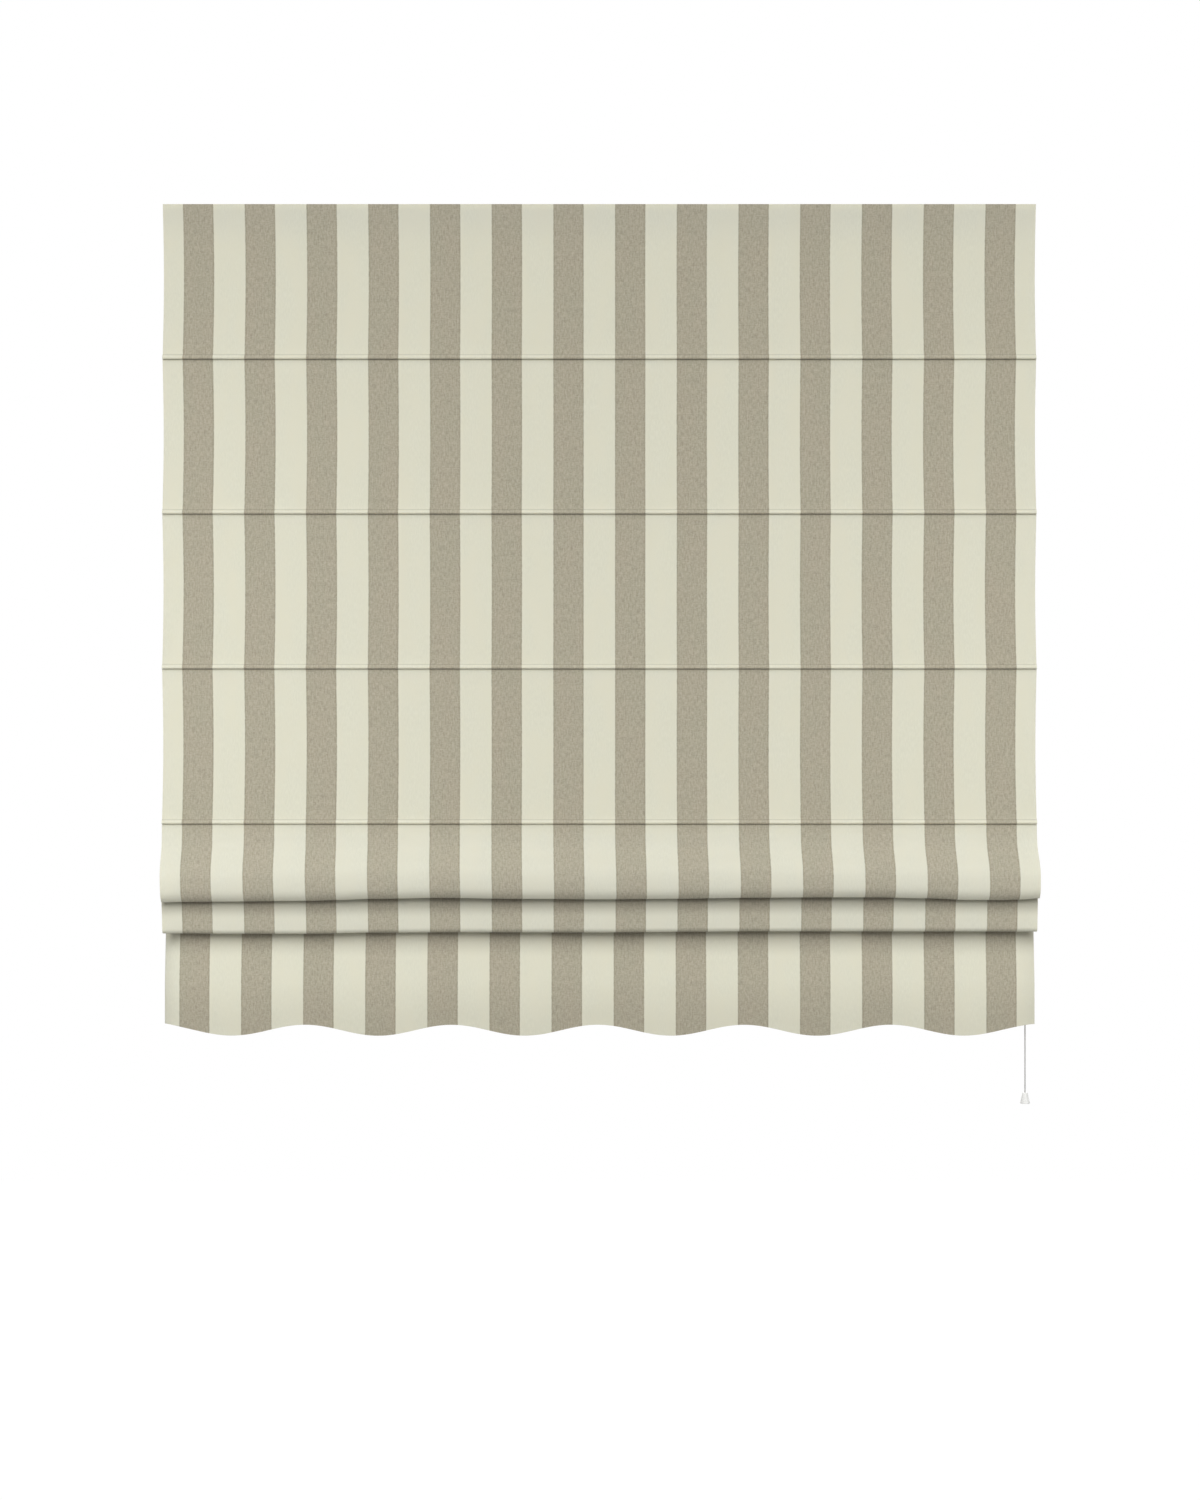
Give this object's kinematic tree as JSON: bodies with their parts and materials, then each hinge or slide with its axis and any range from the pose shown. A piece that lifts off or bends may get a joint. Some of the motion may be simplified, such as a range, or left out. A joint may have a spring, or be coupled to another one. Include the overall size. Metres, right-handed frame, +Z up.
{
  "type": "roman blind",
  "caption": "Roman blind: striped cloth on a headrail, with rod tucks, hanging folds and a scalloped flounce, raised by lift cords through a cord lock with a pull cord and tassel.",
  "frame": {"origin": "centre of the middle bracket's screw pattern, on the plane that the brackets are screwed to", "axes": "+X along the headrail to the right as seen from the front, +Y into the face behind the blind, +Z up"},
  "size_m": [1.4, 0.0854, 1.444],
  "materials": {
    "cloth": "striped slub weave",
    "rail": "satin white",
    "white_plastic": "matt white",
    "clear_plastic": "frosted",
    "rod_plastic": "glass fibre",
    "zinc_steel": "zinc plated",
    "tape": "woven white tape",
    "cord": "braided white cord"
  },
  "bodies": {
    "headrail": {"headrail": "rail", "end_cap_left": "white_plastic", "end_cap_right": "white_plastic", "hook_tape": "tape", "loop_tape": "tape", "bracket_1": "zinc_steel", "bracket_2": "zinc_steel", "bracket_3": "zinc_steel", "cord_guide_1": "white_plastic", "cord_guide_2": "white_plastic", "cord_guide_3": "white_plastic", "cord_guide_4": "white_plastic", "guide_pulley_pins": "zinc_steel", "cord_lock_housing": "white_plastic", "lock_pulley_pin": "zinc_steel", "face_fabric": "cloth", "lift_cord_1": "cord", "lift_cord_2": "cord", "lift_cord_3": "cord", "lift_cord_4": "cord"},
    "rod_1": {"rod_1": "rod_plastic", "rod_1_tips": "white_plastic", "rings_1": "clear_plastic"},
    "rod_2": {"rod_2": "rod_plastic", "rod_2_tips": "white_plastic", "rings_2": "clear_plastic"},
    "rod_3": {"rod_3": "rod_plastic", "rod_3_tips": "white_plastic", "rings_3": "clear_plastic"},
    "stack": {"rod_4": "rod_plastic", "rod_4_tips": "white_plastic", "rings_4": "clear_plastic", "rod_5": "rod_plastic", "rod_5_tips": "white_plastic", "rings_5": "clear_plastic", "weight_rod": "zinc_steel", "weight_rod_tips": "white_plastic", "rings_6": "clear_plastic", "cord_stops": "white_plastic"},
    "pull": {"cord_connector": "white_plastic", "pull_cord": "cord", "tassel": "white_plastic"},
    "guide_pulley_1": {"guide_pulley_1": "white_plastic"},
    "guide_pulley_2": {"guide_pulley_2": "white_plastic"},
    "guide_pulley_3": {"guide_pulley_3": "white_plastic"},
    "guide_pulley_4": {"guide_pulley_4": "white_plastic"},
    "lock_pulley": {"lock_pulley": "white_plastic"},
    "lock_roller": {"lock_roller": "white_plastic"},
    "bracket_lever_1": {"bracket_lever_1": "zinc_steel"},
    "bracket_lever_2": {"bracket_lever_2": "zinc_steel"},
    "bracket_lever_3": {"bracket_lever_3": "zinc_steel"}
  },
  "joints": [
    {"name": "lift", "type": "slide", "parent": "headrail", "child": "stack", "axis": [0, 0, 1], "range_m": [0, 0.90875], "deforming": ["face_fabric", "lift_cord_1", "lift_cord_2", "lift_cord_3", "lift_cord_4"]},
    {"name": "rod_1_lift", "type": "slide", "parent": "headrail", "child": "rod_1", "axis": [0, 0, 1], "range_m": [0, 0.20925]},
    {"name": "rod_2_lift", "type": "slide", "parent": "headrail", "child": "rod_2", "axis": [0, 0, 1], "range_m": [0, 0.44245]},
    {"name": "rod_3_lift", "type": "slide", "parent": "headrail", "child": "rod_3", "axis": [0, 0, 1], "range_m": [0, 0.67565]},
    {"name": "pull", "type": "slide", "parent": "headrail", "child": "pull", "axis": [0, 0, 1], "range_m": [-0.90885, 0]},
    {"name": "guide_pulley_1_spin", "type": "hinge", "parent": "headrail", "child": "guide_pulley_1", "pos_m": [-0.59535, -0.017, -0.00615], "axis": [0, 1, 0], "continuous": true},
    {"name": "guide_pulley_2_spin", "type": "hinge", "parent": "headrail", "child": "guide_pulley_2", "pos_m": [-0.19535, -0.017, -0.00615], "axis": [0, 1, 0], "continuous": true},
    {"name": "guide_pulley_3_spin", "type": "hinge", "parent": "headrail", "child": "guide_pulley_3", "pos_m": [0.20465, -0.017, -0.00615], "axis": [0, 1, 0], "continuous": true},
    {"name": "guide_pulley_4_spin", "type": "hinge", "parent": "headrail", "child": "guide_pulley_4", "pos_m": [0.60465, -0.017, -0.00615], "axis": [0, 1, 0], "continuous": true},
    {"name": "lock_pulley_spin", "type": "hinge", "parent": "headrail", "child": "lock_pulley", "pos_m": [0.67835, -0.017, -0.00815], "axis": [0, 1, 0], "continuous": true},
    {"name": "lock_release", "type": "slide", "parent": "headrail", "child": "lock_roller", "axis": [-0.4226, 0, -0.9063], "range_m": [0, 0.004]},
    {"name": "bracket_lever_1_turn", "type": "hinge", "parent": "headrail", "child": "bracket_lever_1", "pos_m": [-0.5, -0.017, 0.015], "axis": [0, 0, 1], "range_deg": [0, 90]},
    {"name": "bracket_lever_2_turn", "type": "hinge", "parent": "headrail", "child": "bracket_lever_2", "pos_m": [0, -0.017, 0.015], "axis": [0, 0, 1], "range_deg": [0, 90]},
    {"name": "bracket_lever_3_turn", "type": "hinge", "parent": "headrail", "child": "bracket_lever_3", "pos_m": [0.5, -0.017, 0.015], "axis": [0, 0, 1], "range_deg": [0, 90]}
  ],
  "couplings": [
    {"joint": "rod_1_lift", "follows": "lift", "ratio": 0.23015},
    {"joint": "rod_2_lift", "follows": "lift", "ratio": 0.48677},
    {"joint": "rod_3_lift", "follows": "lift", "ratio": 0.74338},
    {"joint": "pull", "follows": "lift", "ratio": -1},
    {"joint": "guide_pulley_1_spin", "follows": "lift", "rad_per_m": 215.05},
    {"joint": "guide_pulley_2_spin", "follows": "lift", "rad_per_m": 215.05},
    {"joint": "guide_pulley_3_spin", "follows": "lift", "rad_per_m": 215.05},
    {"joint": "guide_pulley_4_spin", "follows": "lift", "rad_per_m": 215.05},
    {"joint": "lock_pulley_spin", "follows": "lift", "rad_per_m": 150.38}
  ]
}
